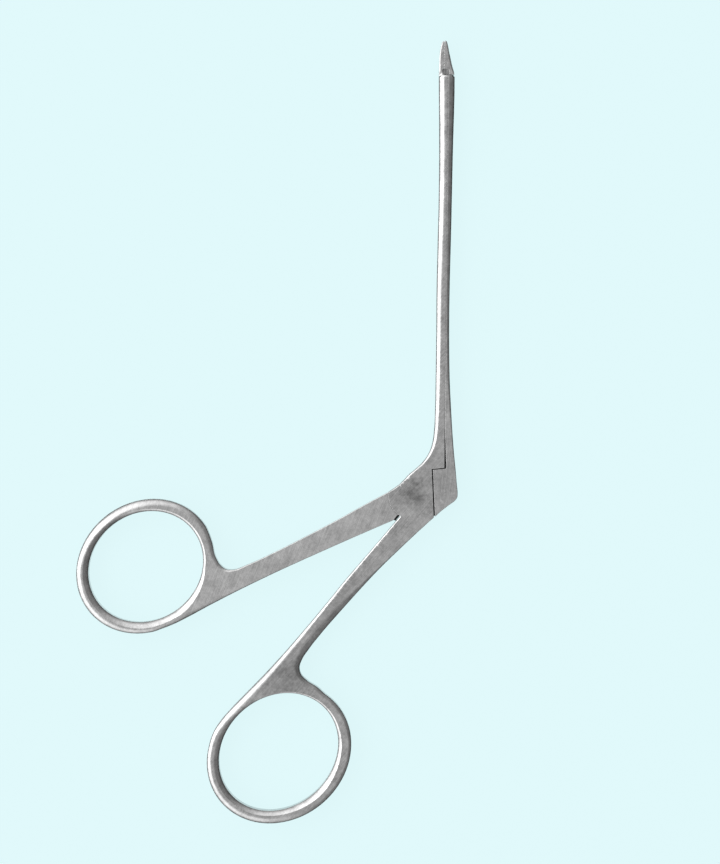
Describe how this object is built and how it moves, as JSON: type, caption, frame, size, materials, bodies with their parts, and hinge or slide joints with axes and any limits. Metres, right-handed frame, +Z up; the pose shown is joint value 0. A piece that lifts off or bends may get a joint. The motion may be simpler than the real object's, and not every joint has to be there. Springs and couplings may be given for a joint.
{
  "type": "alligator ear forceps",
  "caption": "Angled steel forceps with two finger rings; squeezing them slides a bar along a thin shaft and closes a small serrated jaw at its tip.",
  "frame": {"origin": "middle of the instrument's outline on the surface that it lies on", "axes": "+Z up through the thickness of the instrument lying on its side, +Y along the shaft towards the jaw tip, +X away from the finger handle"},
  "size_m": [0.071, 0.1465, 0.004],
  "materials": {
    "satin_steel": "satin",
    "screw_steel": "satin"
  },
  "bodies": {
    "fixed_half": {"rear_handle_frame": "satin_steel", "handle_pivot_screw": "screw_steel", "jaw_pivot_pin": "screw_steel"},
    "finger_lever": {"finger_handle": "satin_steel"},
    "slide": {"slide_bar": "satin_steel", "slide_drive_pin": "screw_steel", "jaw_drive_pin": "screw_steel"},
    "jaw": {"moving_jaw": "satin_steel"}
  },
  "joints": [
    {"name": "handle_pivot", "type": "hinge", "parent": "fixed_half", "child": "finger_lever", "pos_m": [0.02675, -0.01194, 0.002], "axis": [0, 0, -1], "range_deg": [0, 11]},
    {"name": "slide_travel", "type": "slide", "parent": "fixed_half", "child": "slide", "axis": [0, -1, 0], "range_m": [0, 0.00123]},
    {"name": "jaw_pivot", "type": "hinge", "parent": "fixed_half", "child": "jaw", "pos_m": [0.03245, 0.06516, 0.002], "axis": [0, 0, -1], "range_deg": [0, 56.16]}
  ],
  "couplings": [
    {"joint": "slide_travel", "follows": "handle_pivot", "m_per_rad": 0.0063902},
    {"joint": "jaw_pivot", "follows": "handle_pivot", "ratio": 5.1046}
  ]
}
